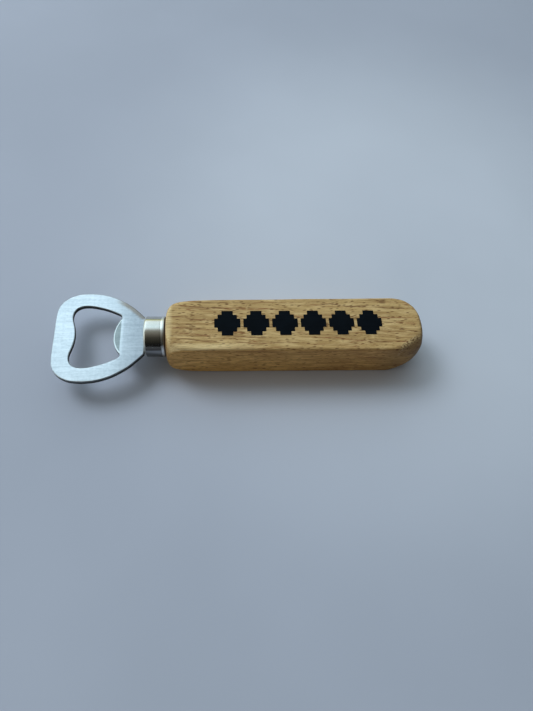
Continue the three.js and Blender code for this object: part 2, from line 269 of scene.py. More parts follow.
def wood_material():
    g = Graph("handle_wood")
    P = g.coords()                                  # millimetres
    sep = g.node("ShaderNodeSeparateXYZ")
    g.link(P, sep.inputs[0])
    x, y, z = sep.outputs

    # slow wander of the grain along the handle, and its slight slope
    wander = g.noise(g.coords(scale=(14, 45, 45)), detail=1.5, rough=0.45)
    wander2 = g.noise(g.coords(scale=(28, 90, 90), offset=(3.1, 7.7, 1.9)), detail=1.0)
    yy = g.math("ADD", y, g.math("MULTIPLY", g.math("SUBTRACT", wander, 0.5), 7.0))
    yy = g.math("ADD", yy, g.math("MULTIPLY", x, 0.035))
    zz = g.math("ADD", z, g.math("MULTIPLY", g.math("SUBTRACT", wander2, 0.5), 5.0))
    vec = g.node("ShaderNodeCombineXYZ")
    g.link(x, vec.inputs[0])
    g.link(yy, vec.inputs[1])
    g.link(zz, vec.inputs[2])
    W = vec.outputs[0]

    # growth rings about a pith well below the slab, uneven in width and strength
    dy = g.math("ADD", yy, -30.0)
    dz = g.math("ADD", zz, 26.0)
    rho = g.math("SQRT", g.math("ADD", g.math("MULTIPLY", dy, dy), g.math("MULTIPLY", dz, dz)))
    uneven = g.noise(g.coords(scale=(0.006, 0.20, 0.20), offset=(2, 6, 1), source=W), detail=2.0)
    rho = g.math("ADD", rho, g.math("MULTIPLY", uneven, 5.0))
    ringpos = g.math("FRACT", g.math("MULTIPLY", rho, 1.0 / 2.9))
    late = g.math("MULTIPLY", g.ramp(ringpos, 0.62, 0.95), g.ramp(ringpos, 0.95, 1.0, 1.0, 0.0))
    ringtone = g.noise(g.coords(scale=(0.022, 0.42, 0.42), offset=(5, 2, 8), source=W), detail=2.0)
    late = g.math("MULTIPLY", late, g.ramp(ringtone, 0.40, 0.62))

    # thin dark lines that come and go, drawn where a stretched noise crosses fixed levels
    field = g.noise(g.coords(scale=(0.010, 0.30, 0.30), offset=(1.7, 8.3, 4.1), source=W), detail=1.2, rough=0.4)
    level = g.math("FRACT", g.math("MULTIPLY", field, 8.0))
    line = g.math("ABSOLUTE", g.math("SUBTRACT", level, 0.5))
    lineon = g.noise(g.coords(scale=(0.045, 0.35, 0.35), offset=(9.7, 1.3, 6.1), source=W), detail=2.0)
    line = g.math("MULTIPLY", g.ramp(line, 0.10, 0.015, 0.0, 1.0), g.ramp(lineon, 0.47, 0.62))

    # fibre: fine and middling streaks that run with the grain
    fine = g.noise(g.coords(scale=(0.06, 3.6, 3.6), source=W), detail=4.0, rough=0.65)
    streak = g.noise(g.coords(scale=(0.028, 1.15, 1.15), offset=(2.2, 0.4, 5.0), source=W), detail=3.0, rough=0.6)
    band = g.noise(g.coords(scale=(0.012, 0.26, 0.26), offset=(7.2, 3.4, 1.0), source=W), detail=2.0)
    ribbon = g.noise(g.coords(scale=(0.12, 0.6, 0.6), offset=(1.2, 9.4, 3.0), source=W), detail=3.0, distortion=0.4)

    # vessels: short dark dashes a little across the lines, dots on the end grain
    tilt = g.math("ADD", yy, g.math("MULTIPLY", x, -0.10))
    tv = g.node("ShaderNodeCombineXYZ")
    g.link(x, tv.inputs[0])
    g.link(tilt, tv.inputs[1])
    g.link(zz, tv.inputs[2])
    T = tv.outputs[0]
    where = g.noise(g.coords(scale=(0.05, 0.14, 0.14), offset=(0.7, 4.4, 2.0)), detail=2.0)
    near_tang = g.ramp(x, 10.0, -20.0, 0.0, 0.16)
    pv = g.voronoi(g.coords(scale=(0.36, 1.55, 1.55), source=T), scale=1.0)
    pcell = g.node("ShaderNodeSeparateColor")
    g.link(pv.outputs["Color"], pcell.inputs[0])
    on = g.math("ADD", g.math("ADD", pcell.outputs[0], g.math("MULTIPLY", where, 0.9)), near_tang)
    on = g.ramp(on, 0.98, 1.10)
    pore = g.math("MULTIPLY", g.ramp(pv.outputs["Distance"], 0.16, 0.38, 1.0, 0.0), on)
    pv2 = g.voronoi(g.coords(scale=(0.62, 3.2, 3.2), offset=(11, 5, 3), source=T), scale=1.0)
    pcell2 = g.node("ShaderNodeSeparateColor")
    g.link(pv2.outputs["Color"], pcell2.inputs[0])
    on2 = g.ramp(g.math("ADD", pcell2.outputs[1], g.math("MULTIPLY", where, 0.5)), 0.80, 0.98)
    pore2 = g.math("MULTIPLY", g.ramp(pv2.outputs["Distance"], 0.08, 0.34, 1.0, 0.0), on2)

    # end grain, where the surface turns across the fibre
    tc = g.node("ShaderNodeTexCoord")
    nsep = g.node("ShaderNodeSeparateXYZ")
    g.link(tc.outputs["Normal"], nsep.inputs[0])
    ends = g.ramp(g.math("ABSOLUTE", nsep.outputs[0]), 0.18, 0.80)

    light = (0.610, 0.400, 0.160)
    mid = (0.500, 0.312, 0.118)
    dark = (0.285, 0.150, 0.048)
    red = (0.300, 0.125, 0.038)
    col = g.mix(g.ramp(band, 0.36, 0.66), light, mid)
    col = g.mix(g.math("MULTIPLY", g.ramp(streak, 0.47, 0.66), 0.62), col, dark)
    col = g.mix(g.math("MULTIPLY", late, 0.60), col, dark)
    col = g.mix(g.math("MULTIPLY", g.ramp(fine, 0.44, 0.68), 0.46), col, (0.31, 0.165, 0.058))
    col = g.mix(g.math("MULTIPLY", g.ramp(fine, 0.50, 0.30), 0.46), col, (0.86, 0.615, 0.295))
    col = g.mix(g.math("MULTIPLY", g.ramp(ribbon, 0.48, 0.66), 0.48), col, (0.84, 0.60, 0.285))
    col = g.mix(g.math("MULTIPLY", line, 0.88), col, red)

    # the boldest grain lines of the wide face, each from (x0, y0) to (x1, y1) with its width
    sway = g.math("MULTIPLY", g.math("SUBTRACT", g.noise(g.coords(scale=(75, 25, 25), offset=(1, 8, 2)),
                                                         detail=2.0), 0.5), 2.6)
    break_up = g.ramp(g.noise(g.coords(scale=(0.32, 1.1, 1.1), offset=(6, 2, 7), source=P), detail=2.5,
                              rough=0.65), 0.36, 0.54)
    ys = g.math("ADD", y, sway)
    strokes = None
    for x0, y0, x1, y1, w, k in (
            (-27, 8.0, 12, 6.6, 0.55, 0.95), (-20, 9.9, 32, 9.8, 0.40, 0.60), (30, 8.9, 50, 7.7, 0.50, 0.90),
            (54, 7.3, 70, 5.7, 0.55, 0.90), (-30, 3.4, -23, 3.3, 0.42, 0.80), (-23, 2.2, -15, 2.1, 0.42, 0.85),
            (-30, -1.8, -13, -1.9, 1.1, 0.55), (-27, -4.2, -12, -4.6, 0.45, 0.90), (-26, -6.6, -13, -7.0, 0.45, 0.85),
            (-7, -5.6, 8, -5.9, 0.50, 0.85), (-6, -8.2, 24, -8.8, 0.42, 0.75), (24, -6.3, 42, -7.1, 0.50, 0.90),
            (43, -7.6, 50, -7.6, 0.60, 0.95), (53, 2.5, 68, 1.7, 0.42, 0.85), (54, 0.5, 69, -0.7, 0.42, 0.85),
            (54, -2.7, 69, -4.1, 0.50, 0.90), (50, -8.2, 68, -9.0, 0.50, 0.85), (-14, -10.3, 14, -10.6, 0.38, 0.60)):
        m = (y1 - y0) / (x1 - x0)
        off = g.math("SUBTRACT", ys, g.math("MULTIPLY_ADD", x, m, y0 - m * x0))
        core = g.ramp(g.math("ABSOLUTE", off), 0.15 * w, 0.85 * w, k, 0.0)
        run = g.math("MULTIPLY", g.ramp(x, x0 - 1.5, x0 + 1.5), g.ramp(x, x1 + 1.5, x1 - 1.5))
        one = g.math("MULTIPLY", core, run)
        strokes = one if strokes is None else g.math("MAXIMUM", strokes, one)
    strokes = g.math("MULTIPLY", strokes, break_up)
    strokes = g.math("MULTIPLY", strokes, g.ramp(nsep.outputs[2], 0.35, 0.7))
    redness = g.noise(g.coords(scale=(0.05, 0.2, 0.2), offset=(3, 5, 2), source=P), detail=1.5)
    col = g.mix(strokes, col, g.mix(g.ramp(redness, 0.42, 0.60), (0.205, 0.100, 0.033), (0.290, 0.108, 0.034)))
    # a small knot near the far corner
    kx = g.math("MULTIPLY", g.math("SUBTRACT", x, 56.5), 0.55)
    ky = g.math("SUBTRACT", y, 9.9)
    kr = g.math("SQRT", g.math("ADD", g.math("MULTIPLY", kx, kx), g.math("MULTIPLY", ky, ky)))
    knot = g.math("MULTIPLY", g.ramp(kr, 1.2, 0.35), g.ramp(nsep.outputs[2], 0.35, 0.7))
    col = g.mix(g.math("MULTIPLY", knot, 0.8), col, (0.20, 0.095, 0.032))

    col = g.mix(g.math("MULTIPLY", pore2, 0.60), col, (0.185, 0.080, 0.026))
    col = g.mix(g.math("MULTIPLY", pore, 0.92), col, (0.150, 0.062, 0.021))
    # painted light and shade on the flanks: warmer, lighter by the ferrule and darker towards the butt, for how the
    # light falls on them
    flank = g.ramp(g.math("ABSOLUTE", nsep.outputs[2]), 0.82, 0.45)
    flank_painted_light = g.mix(g.ramp(x, -30.0, 55.0), (1.16, 1.03, 0.75), (0.90, 0.76, 0.55))
    flank_painted_light = g.mix(g.ramp(x, 48.0, 64.0), flank_painted_light, (0.60, 0.52, 0.40))
    col = g.mix(flank, col, g.mix(1.0, col, flank_painted_light, "MULTIPLY"))
    # end grain drinks the oil: darker and flecked
    endfleck = g.noise(g.coords(scale=(0.5, 1.7, 1.7), offset=(4, 4, 9)), detail=4.0, rough=0.75)
    endcol = g.mix(g.ramp(endfleck, 0.43, 0.60), (0.16, 0.080, 0.028), (0.52, 0.345, 0.155))
    col = g.mix(g.math("MULTIPLY", ends, 0.70), col, endcol)

    # painted highlight: a paler front edge by the ferrule and a pale rim at the ferrule end
    edge_painted_highlight = g.math("MULTIPLY", g.ramp(x, 12.0, -16.0), g.ramp(g.math("ADD", y, g.math("MULTIPLY", streak, 2.0)), -7.0, -8.8))
    edge_painted_highlight = g.math("MULTIPLY", edge_painted_highlight, g.ramp(nsep.outputs[2], 0.25, 0.60))
    edge_painted_highlight = g.math("MAXIMUM", edge_painted_highlight, g.math("MULTIPLY", g.ramp(x, -27.8, -29.6), g.ramp(nsep.outputs[2], 0.2, 0.6)))
    col = g.mix(g.math("MULTIPLY", edge_painted_highlight, 0.72), col, g.mix(g.ramp(fine, 0.36, 0.66), (0.94, 0.74, 0.40), (0.66, 0.45, 0.20)))
    # the near corner of the butt was sanded across the grain: a rough, flecked band
    cx = g.math("SUBTRACT", x, 60.4)
    cy = g.math("ADD", y, 11.9)
    band_d = g.math("SUBTRACT", g.math("MULTIPLY", cx, 0.530), g.math("MULTIPLY", cy, 0.848))
    band_d = g.math("ADD", band_d, g.math("MULTIPLY", g.math("SUBTRACT", wander, 0.5), 1.2))
    band_t = g.math("ADD", g.math("MULTIPLY", cx, 0.848), g.math("MULTIPLY", cy, 0.530))
    rasp = g.math("MULTIPLY", g.ramp(g.math("ABSOLUTE", band_d), 1.25, 0.45), g.ramp(band_t, -0.5, 2.0))
    rasp = g.math("MULTIPLY", rasp, g.ramp(band_t, 12.5, 9.5))
    rasp = g.math("MULTIPLY", rasp, g.ramp(z, 13.5, 15.5))
    chips = g.noise(g.coords(scale=(1.1, 1.9, 1.9), offset=(8, 3, 5), source=P), detail=3.0, rough=0.7)
    col = g.mix(g.math("MULTIPLY", rasp, 0.85), col,
                g.mix(g.ramp(chips, 0.43, 0.57), (0.13, 0.060, 0.022), (0.66, 0.47, 0.23)))
    # painted shade: the wood is dark in the gap by the ferrule's end
    joint_painted_shade = g.ramp(g.math("ADD", x, g.math("MULTIPLY", fine, 0.25)), -30.50, -30.80)
    col = g.mix(g.math("MULTIPLY", joint_painted_shade, 0.88), col, (0.040, 0.017, 0.007))

    height = g.math("MULTIPLY", fine, 0.35)
    height = g.math("SUBTRACT", height, g.math("MULTIPLY", pore, 0.9))
    height = g.math("SUBTRACT", height, g.math("MULTIPLY", pore2, 0.45))
    height = g.math("ADD", height, g.math("MULTIPLY", g.math("MULTIPLY", endfleck, ends), 1.8))
    height = g.math("ADD", height, g.math("MULTIPLY", g.math("MULTIPLY", chips, rasp), 3.0))
    rough = g.math("ADD", g.ramp(fine, 0.3, 0.7, 0.50, 0.62), g.math("MULTIPLY", pore, 0.2))
    return g.set(Base_Color=col, Roughness=rough, Specular_IOR_Level=0.30,
                 Normal=g.bump(height, 0.00007, 0.8))


def steel_material():
    g = Graph("head_steel")
    P = g.coords()
    sep = g.node("ShaderNodeSeparateXYZ")
    g.link(P, sep.inputs[0])
    x, y, z = sep.outputs
    # a linished finish: fine lines along the opener, in sets of uneven strength
    grain = g.noise(g.coords(scale=(0.075, 6.5, 2.0), source=P), detail=3.0, rough=0.7)
    broad = g.noise(g.coords(scale=(0.045, 1.5, 0.6), offset=(1, 2, 3), source=P), detail=3.0, rough=0.6)
    cross = g.noise(g.coords(scale=(1.1, 0.10, 0.3), offset=(4, 2, 3), source=P), detail=3.0, rough=0.7)
    cloud = g.noise(g.coords(scale=(0.07, 0.07, 0.07), offset=(5, 1, 0), source=P), detail=3.0)
    scratch = g.voronoi(g.coords(scale=(0.055, 0.62, 0.62), offset=(0.3, 0.8, 0.1), source=P), scale=1.0,
                        feature="DISTANCE_TO_EDGE")
    nick = g.ramp(scratch.outputs["Distance"], 0.0, 0.012, 1.0, 0.0)
    brushed = g.noise(g.coords(scale=(0.16, 1.25, 0.5), offset=(7, 1, 3), source=P), detail=2.0, rough=0.55)
    speck = g.noise(g.coords(scale=(0.9, 1.3, 0.9), offset=(2, 9, 3), source=P), detail=2.0, rough=0.6)
    tone = g.math("MULTIPLY", g.math("SUBTRACT", grain, 0.5), 1.4)
    tone = g.math("ADD", tone, g.math("MULTIPLY", g.math("SUBTRACT", broad, 0.5), 1.2))
    tone = g.math("ADD", tone, g.math("MULTIPLY", g.math("SUBTRACT", brushed, 0.5), 1.8))
    tone = g.math("ADD", tone, g.math("MULTIPLY", g.math("SUBTRACT", speck, 0.5), 1.6))
    tone = g.math("ADD", tone, g.math("MULTIPLY", g.math("SUBTRACT", cross, 0.5), 0.8))
    tone = g.math("ADD", tone, g.math("MULTIPLY", g.math("SUBTRACT", cloud, 0.5), 0.5))
    col = g.mix(g.math("ADD", tone, 0.5, clamp=True), (0.475, 0.522, 0.565), (0.625, 0.672, 0.718))
    # painted shade: darker towards the neck, standing in for the dimmer surroundings that the plate reflects there
    neck_painted_shade = g.ramp(x, -57.0, -41.0)
    col = g.mix(neck_painted_shade, col, g.mix(1.0, col, (0.63, 0.635, 0.655), "MULTIPLY"))
    # painted shade: the pressed tongue is darker, standing in for the dim surroundings that its downward slope
    # reflects
    tongue = g.math("MULTIPLY", g.ramp(x, -49.0, -49.35), g.ramp(x, -52.3, -51.8))
    tongue = g.math("MULTIPLY", tongue, g.ramp(g.math("ABSOLUTE", y), 8.4, 7.9))
    col = g.mix(tongue, col, g.mix(1.0, col, (0.56, 0.585, 0.555), "MULTIPLY"))
    # painted highlights: a bright line along the tongue's rim and along the crest of the fold
    from_axis = g.math("SQRT", g.math("ADD", g.math("MULTIPLY", y, y), g.math("POWER", g.math("ADD", x, 39.98), 2.0)))
    rim_highlight = g.math("MULTIPLY", g.ramp(from_axis, 11.45, 11.70), tongue)
    col = g.mix(rim_highlight, col, (0.70, 0.76, 0.78))
    crest_highlight = g.math("MULTIPLY", g.ramp(x, -49.25, -49.0), g.ramp(x, -47.9, -48.6))
    crest_highlight = g.math("MULTIPLY", crest_highlight, g.ramp(g.math("ABSOLUTE", y), 8.6, 7.8))
    col = g.mix(g.math("MULTIPLY", crest_highlight, 0.32), col, (0.70, 0.76, 0.80))
    # a brownish band on the far shoulder of the neck: a painted reflection of the brownish horizon in its tilted edge
    along = g.math("MULTIPLY_ADD", g.math("ADD", x, 44.0), -0.753, g.math("MULTIPLY", g.math("SUBTRACT", y, 12.0), 0.658))
    outside = g.math("MULTIPLY_ADD", g.math("ADD", x, 39.65), 0.658, g.math("MULTIPLY", g.math("SUBTRACT", y, 8.15), 0.753))
    bulge = g.math("SUBTRACT", 0.48, g.math("MULTIPLY", g.math("MULTIPLY", along, along), 0.0143))
    depth = g.math("SUBTRACT", bulge, outside)
    depth = g.math("ADD", depth, g.math("MULTIPLY", g.math("SUBTRACT", speck, 0.5), 0.6))
    shoulder_painted_reflection = g.math("MULTIPLY", g.ramp(depth, 2.5, 1.1), g.ramp(along, 10.0, 4.0))
    shoulder_painted_reflection = g.math("MULTIPLY", shoulder_painted_reflection, g.ramp(y, 7.0, 8.0))
    shoulder_painted_reflection = g.math("MULTIPLY", shoulder_painted_reflection, g.ramp(z, 10.2, 10.5))
    col = g.mix(shoulder_painted_reflection, col, g.mix(1.0, col, (0.66, 0.54, 0.45), "MULTIPLY"))
    # the side walls are painted near-black, a painted shade for the dark front and shadowed floor that they reflect;
    # they are also rougher. The rounded corner above them keeps the plate's colour.
    tc = g.node("ShaderNodeTexCoord")
    nsep = g.node("ShaderNodeSeparateXYZ")
    g.link(tc.outputs["Normal"], nsep.inputs[0])
    wall = g.ramp(nsep.outputs[2], 0.55, 0.18)
    under = g.ramp(nsep.outputs[2], -0.5, -0.9)
    wall = g.math("MULTIPLY", wall, g.math("SUBTRACT", 1.0, under))
    edge_tone = g.noise(g.coords(scale=(0.8, 0.8, 1.6), offset=(3, 3, 3), source=P), detail=3.0)
    wall_painted_shade_col = g.mix(g.ramp(edge_tone, 0.35, 0.65), (0.045, 0.044, 0.042), (0.105, 0.102, 0.098))
    col = g.mix(wall, col, wall_painted_shade_col)
    rough = g.math("ADD", g.math("MULTIPLY", g.math("SUBTRACT", grain, 0.5), 0.20), 0.30)
    rough = g.math("ADD", rough, g.math("MULTIPLY", cloud, 0.05))
    rough = g.math("ADD", rough, g.math("MULTIPLY", wall, 0.25))
    h = g.math("ADD", g.math("MULTIPLY", grain, 0.7), g.math("MULTIPLY", broad, 0.3))
    h = g.math("SUBTRACT", h, g.math("MULTIPLY", nick, 0.15))
    g.set(Base_Color=col, Metallic=1.0, Roughness=rough, Anisotropic=0.55,
          Normal=g.bump(h, 0.000014, 0.7))
    tan = g.node("ShaderNodeTangent", direction_type="UV_MAP", uv_map="UVMap")
    g.link(tan.outputs[0], g.bsdf.inputs["Tangent"])
    return g.mat


def nickel_material():
    g = Graph("ferrule_metal")
    turn = g.noise(g.coords(scale=(5200, 160, 160)), detail=2.0, rough=0.6)
    cloud = g.noise(g.coords(scale=(160, 160, 160), offset=(2, 8, 1)), detail=4.0, rough=0.6)
    smear = g.noise(g.coords(scale=(420, 900, 900), offset=(4, 3, 7)), detail=3.0)
    col = g.mix(g.ramp(cloud, 0.35, 0.7), (0.56, 0.555, 0.52), (0.63, 0.62, 0.585))
    # painted shade in bands below the middle, standing in for the dark floor that they reflect; a painted highlight
    # round the front edge, which is also rougher
    tc = g.node("ShaderNodeTexCoord")
    nsep = g.node("ShaderNodeSeparateXYZ")
    g.link(tc.outputs["Normal"], nsep.inputs[0])
    lip = g.ramp(nsep.outputs[0], -0.22, -0.45)
    low_painted_shade = g.math("MULTIPLY", g.ramp(nsep.outputs[2], 0.56, 0.40), g.math("SUBTRACT", 1.0, lip))
    col = g.mix(low_painted_shade, col, g.mix(1.0, col, (0.42, 0.43, 0.46), "MULTIPLY"))
    belt_painted_shade = g.math("MULTIPLY", g.ramp(nsep.outputs[2], 0.55, 0.50), g.ramp(nsep.outputs[2], 0.29, 0.36))
    belt_painted_shade = g.math("MULTIPLY", belt_painted_shade, g.math("SUBTRACT", 1.0, lip))
    col = g.mix(belt_painted_shade, col, g.mix(1.0, col, (0.36, 0.33, 0.30), "MULTIPLY"))
    col = g.mix(lip, col, g.mix(g.ramp(cloud, 0.35, 0.7), (0.84, 0.82, 0.75), (0.93, 0.91, 0.85)))
    rough = g.math("ADD", g.math("MULTIPLY", g.math("SUBTRACT", turn, 0.5), 0.08), 0.125)
    rough = g.math("ADD", rough, g.math("MULTIPLY", lip, 0.16))
    xsep = g.node("ShaderNodeSeparateXYZ")
    g.link(g.coords(), xsep.inputs[0])
    # painted highlight: a bright, rougher ring near the end by the wood
    ring = g.ramp(xsep.outputs[0], -32.75, -32.45)
    col = g.mix(g.math("MULTIPLY", ring, 0.7), col, (0.90, 0.90, 0.86))
    rough = g.math("ADD", rough, g.math("MULTIPLY", ring, 0.17))
    rough = g.math("ADD", rough, g.ramp(smear, 0.45, 0.75, 0.0, 0.08))
    h = g.math("ADD", g.math("MULTIPLY", turn, 0.6), g.math("MULTIPLY", cloud, 0.4))
    return g.set(Base_Color=col, Metallic=1.0, Roughness=rough, Normal=g.bump(h, 0.000006, 0.5))


def epoxy_material():
    g = Graph("adhesive")
    n = g.noise(g.coords(scale=(500, 500, 500)), detail=3.0)
    col = g.mix(g.ramp(n, 0.35, 0.65), (0.020, 0.009, 0.004), (0.085, 0.034, 0.009))
    return g.set(Base_Color=col, Roughness=g.ramp(n, 0.3, 0.7, 0.22, 0.42),
                 Normal=g.bump(n, 0.00005, 0.6))


def film_material():
    g = Graph("mark_film")
    tele = g.noise(g.coords(scale=(60, 2600, 900)), detail=3.0, rough=0.6)
    cloud = g.noise(g.coords(scale=(220, 260, 260), offset=(1, 1, 4)), detail=3.0)
    col = g.mix(g.ramp(cloud, 0.3, 0.7), (0.0012, 0.0026, 0.0048), (0.0020, 0.0040, 0.0070))
    rough = g.math("ADD", g.math("MULTIPLY", tele, 0.16), 0.46)
    return g.set(Base_Color=col, Roughness=rough, Specular_IOR_Level=0.05,
                 Normal=g.bump(tele, 0.000012, 0.5))


wood = wood_material()
steel = steel_material()
nickel = nickel_material()
epoxy = epoxy_material()
film = film_material()

# ------------------------------------------------------------ wooden handle
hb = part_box("wooden_handle")
TOP = hb[1][2] / MM                  # upper face of the handle
AXIS = TOP / 2                       # height of the turning axis
X_BUTT = hb[1][0] / MM
X_TENON = hb[0][0] / MM
X_WOOD = -31.0
W0, W1 = 22.4, 24.2
TENON_R = 7.0

FRONT = [(X_WOOD, 8.7), (-30.85, 9.4), (-30.6, 10.3), (-30.15, 11.25), (-29.5, 12.1), (-28.55, 12.85),
         (-27.2, 13.45), (-25.4, 13.95), (-23.0, 14.35), (-20.0, 14.7), (-16.0, 15.05), (-11.0, 15.5),
         (-5.0, 16.2)]
DOME = X_BUTT - 0.5                  # the crown is sanded round
TIP = [(71.65, 9.2), (72.28, 7.9), (72.92, 6.3), (73.46, 4.8), (73.93, 3.2), (74.18, 2.2), (74.36, 1.3),
       (74.46, 0.6), (DOME, 0.0)]
FULL = [(54.0, 17.2), (58.0, 16.4), (61.0, 15.7), (63.2, 15.1), (64.9, 14.67), (66.4, 14.14), (67.7, 13.5),
        (68.9, 12.7), (69.9, 11.85), (70.6, 11.03), (71.0, 10.45), (71.3, 10.0)] + TIP
WORN = [(54.0, 17.2), (58.0, 16.3), (60.8, 15.45), (63.0, 14.5), (65.0, 13.5), (66.6, 12.75), (68.1, 12.0),
        (69.5, 11.3), (70.5, 10.65), (71.1, 10.05)] + TIP
SIDE = [(54.0, 17.2), (58.0, 16.3), (61.0, 15.2), (64.0, 13.6), (66.0, 12.65), (67.5, 11.85), (69.2, 10.75),
        (70.8, 9.4), (72.0, 7.8), (72.75, 6.2), (73.38, 4.6), (73.9, 3.0), (74.2, 2.0), (74.38, 1.2),
        (74.46, 0.6), (DOME, 0.0)]


def spread(a, b, n):
    return [a + (b - a) * i / n for i in range(n)]


def quadrant(corner, tight, n_flat, n_corner, n_top):
    return (spread(0.0, corner - tight, n_flat) + spread(corner - tight, corner + tight, n_corner)
            + spread(corner + tight, math.pi / 2, n_top))


def angles(corner, tight=math.radians(4.0), n_flat=26, n_corner=14, n_top=30):
    q = quadrant(corner, tight, n_flat, n_corner, n_top)
    n = len(q)
    out = list(q)
    out += [math.pi - a for a in reversed(q[1:] + [math.pi / 2])]
    out += [math.pi + a for a in q]
    out += [2 * math.pi - a for a in reversed(q[1:] + [math.pi / 2])]
    return out


def lookup(samples, x):
    for (x0, r0), (x1, r1) in zip(samples[:-1], samples[1:]):
        if x <= x1:
            return r0 + (r1 - r0) * (x - x0) / max(x1 - x0, 1e-9)
    return samples[-1][1]


def butt_reach(tables, x, a):
    """The hand-finished butt: fuller corners at +Y, worn ones at -Y, rounder half way up."""
    full, shoulder_painted_reflection, side = tables
    corner = smoothstep(-0.35, 0.35, math.cos(a))
    flank = 1.0 - smoothstep(0.15, 0.62, abs(math.sin(a)))
    r = lookup(shoulder_painted_reflection, x) * (1 - corner) + lookup(full, x) * corner
    return r * (1 - flank) + lookup(side, x) * flank


def slab_reach(x, a, k):
    w = (W0 + (W1 - W0) * (x - X_WOOD) / 100.0) / 2
    h = AXIS
    cy, sz = abs(math.cos(a)), abs(math.sin(a))
    ra = w / max(cy, 1e-6)
    rb = h / max(sz, 1e-6)
    # hand-sanded edges are not quite even
    wob = 1.0 + 0.22 * noise.noise(Vector((x * 0.06, round(math.cos(a)) * 3.0, round(math.sin(a)) * 5.0)))
    return smin(min(ra, 60.0), min(rb, 60.0), k * wob)


def build_handle():
    stations = []                    # (x, turned radius)
    for p in catmull(FRONT, 4.0):
        stations.append((p.x, p.y))
    x = -4.0
    while x < 53.5:
        stations.append((x, 60.0))
        x += 1.25
    tables = [[(p.x, max(p.y, 0.0)) for p in catmull(t, 4.0)] for t in (FULL, WORN, SIDE)]
    for x, r in tables[0]:
        stations.append((x, None))
    while lookup(tables[0], stations[-1][0]) < 0.15:
        stations.pop()

    verts, rings = [], []

    def ring(points):
        base = len(verts)
        verts.extend(points)
        rings.append(list(range(base, base + len(points))))

    def corner_at(x):
        return math.atan2(AXIS, (W0 + (W1 - W0) * (x - X_WOOD) / 100.0) / 2)

    def rect(x, hw, hh):
        pts = []
        for a in angles(corner_at(X_WOOD)):
            cy, sz = math.cos(a), math.sin(a)
            r = min(hw / max(abs(cy), 1e-6), hh / max(abs(sz), 1e-6))
            pts.append((x, r * cy, AXIS + r * sz))
        ring(pts)

    def circle(x, r):
        ring([(x, r * math.cos(a), AXIS + r * math.sin(a)) for a in angles(corner_at(X_WOOD))])

    # mortise, tenon and shoulder, hidden by the ferrule
    rect(-6.5, 0.8, 0.3)
    for xx in (-6.5, -6.8, -14.0, -22.0, -30.0, X_TENON + 0.3):
        rect(xx, 6.2, 2.1)
    rect(X_TENON, 6.2, 2.1)
    circle(X_TENON, TENON_R - 0.5)
    circle(X_TENON + 0.15, TENON_R - 0.15)
    circle(X_TENON + 0.5, TENON_R)
    circle(-35.0, TENON_R)
    circle(X_WOOD - 0.15, TENON_R)
    circle(X_WOOD, TENON_R + 0.12)
    circle(X_WOOD, 7.8)
    circle(X_WOOD, 8.45)
    for i, (xx, turned) in enumerate(stations):
        pts = []
        for a in angles(corner_at(xx)):
            r = slab_reach(xx, a, 1.5)
            rt = butt_reach(tables, xx, a) if turned is None else turned
            if rt < 30:
                worn_edge = turned is None and math.cos(a) < 0.3 and math.sin(a) > 0.2
                r = smin(r, rt, 1.6 if worn_edge else 0.75)
            # faint waves left by sanding
            r -= 0.035 * (0.5 + 0.5 * noise.noise(Vector((xx * 0.11, math.cos(a) * 1.6, math.sin(a) * 1.6))))
            pts.append((xx, r * math.cos(a), AXIS + r * math.sin(a)))
        ring(pts)

    faces = bridge(rings)
    # close the mortise floor and the tip
    n = len(rings[0])
    verts.append((-6.5, 0.0, AXIS))
    k = len(verts) - 1
    faces += [(k, rings[0][(i + 1) % n], rings[0][i]) for i in range(n)]
    verts.append((DOME, 0.0, AXIS))
    k = len(verts) - 1
    faces += [(k, rings[-1][i], rings[-1][(i + 1) % n]) for i in range(n)]
    obj = mesh_object("handle", verts, faces, wood)
    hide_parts("wooden_handle")
    return obj


handle = build_handle()

# ---------------------------------------------------------------- head plate
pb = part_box("head_plate")
FAR = pb[0][0] / MM
NECK = -39.65
PLATE_TOP = pb[1][2] / MM
PLATE_T = 2.0
FOLD = -49.15
TONGUE_HALF, TONGUE_REACH = 8.0, 3.0
TONGUE_DROP = PLATE_TOP - PLATE_T - pb[0][2] / MM

OUTER = [(NECK, 8.15), (-41.0, 9.6), (-42.8, 11.4), (-44.5, 13.0), (-46.4, 14.5), (-48.4, 15.8),
         (-50.5, 17.0), (-52.7, 18.0), (-55.0, 18.8), (-57.5, 19.4), (-60.1, 19.75), (-62.8, 19.85),
         (-65.6, 19.65), (-68.4, 18.95), (-71.0, 17.6), (-73.15, 15.5), (-74.45, 12.9), (-74.9, 9.9),
         (-75.0, 7.1), (-75.0, 4.6), (-75.0, 2.3), (-75.0, 0.0), (-75.0, -2.3)]
INNER = [(FOLD, 8.55), (-49.28, 9.15), (-49.85, 9.72), (-51.3, 10.5), (-52.85, 11.22), (-54.3, 11.85),
         (-55.9, 12.4), (-57.5, 12.88), (-59.25, 13.32), (-61.2, 13.68), (-63.2, 13.8), (-65.3, 13.5),
         (-67.06, 12.5), (-68.15, 10.7), (-68.35, 8.3), (-67.75, 5.9), (-67.25, 4.0), (-67.0, 2.5),
         (-66.85, 1.2), (-66.8, 0.0), (-66.85, -1.2)]
TANG = [(-29.0, 5.0), (-28.2, 3.8), (-25.8, 3.8), (-25.0, 5.0), (-19.0, 5.0), (-18.2, 3.8), (-15.8, 3.8),
        (-15.0, 5.0), (-11.5, 5.0), (-9.0, 3.4)]


def mirror_loop(half):
    """A closed loop from its half at y > 0, which runs from +X round to -X."""
    return half + [(x, -y) for x, y in reversed(half)]


